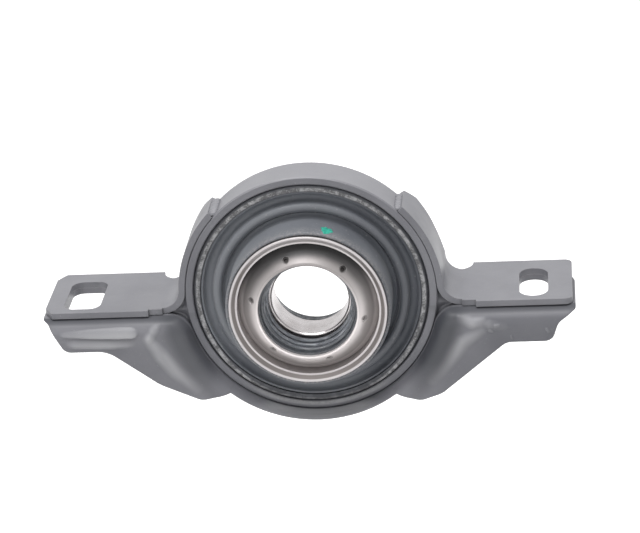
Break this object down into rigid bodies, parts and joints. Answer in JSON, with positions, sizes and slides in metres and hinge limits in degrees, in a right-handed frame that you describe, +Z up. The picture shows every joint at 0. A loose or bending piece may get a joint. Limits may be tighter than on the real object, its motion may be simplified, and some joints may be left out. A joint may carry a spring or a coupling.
{
  "type": "driveshaft centre bearing",
  "caption": "Driveshaft centre bearing: sealed ball bearing in a rubber cushion inside a grey pressed-steel ring bracket with slotted mounting feet and a flanged lower saddle.",
  "frame": {"origin": "middle of the bearing, on the shaft axis", "axes": "+X to the right foot, +Y along the shaft to the rear, +Z up, away from the cup of the saddle"},
  "size_m": [0.2086, 0.0507, 0.1014],
  "materials": {
    "bracket_paint": "satin grey dip paint",
    "sleeve_steel": "bare, rough edge",
    "cushion_rubber": "moulded matt",
    "pressed_steel": "pressed, oiled",
    "race_steel": "ground",
    "seal_rubber": "moulded, greased",
    "cage_metal": "pressed",
    "ball_steel": "polished"
  },
  "bodies": {
    "bracket": {"support_ring": "bracket_paint", "left_arm": "bracket_paint", "right_arm": "bracket_paint", "lower_saddle": "bracket_paint", "bonded_sleeve": "sleeve_steel", "rubber_cushion": "cushion_rubber"},
    "carrier": {"bearing_carrier": "pressed_steel", "front_dust_cover": "pressed_steel", "rear_dust_cover": "pressed_steel", "front_lip_seal": "seal_rubber", "rear_lip_seal": "seal_rubber", "outer_race": "race_steel", "front_bearing_seal": "seal_rubber", "rear_bearing_seal": "seal_rubber"},
    "shaft_ring": {"inner_race": "race_steel"},
    "cage": {"front_cage": "cage_metal", "rear_cage": "cage_metal", "cage_rivets": "cage_metal", "ball_01": "ball_steel", "ball_02": "ball_steel", "ball_03": "ball_steel", "ball_04": "ball_steel", "ball_05": "ball_steel", "ball_06": "ball_steel", "ball_07": "ball_steel", "ball_08": "ball_steel", "ball_09": "ball_steel", "ball_10": "ball_steel", "ball_11": "ball_steel"}
  },
  "joints": [
    {"name": "carrier_float", "type": "slide", "parent": "bracket", "child": "carrier", "axis": [0, 1, 0], "range_m": [-0.003, 0.003], "stiffness_N_per_m": 20000, "deforming": ["rubber_cushion"]},
    {"name": "shaft_turn", "type": "hinge", "parent": "carrier", "child": "shaft_ring", "pos_m": [0, 0, 0], "axis": [0, 1, 0], "continuous": true},
    {"name": "cage_turn", "type": "hinge", "parent": "carrier", "child": "cage", "pos_m": [0, 0, 0], "axis": [0, 1, 0], "continuous": true}
  ],
  "couplings": [
    {"joint": "cage_turn", "follows": "shaft_turn", "ratio": 0.41765}
  ]
}
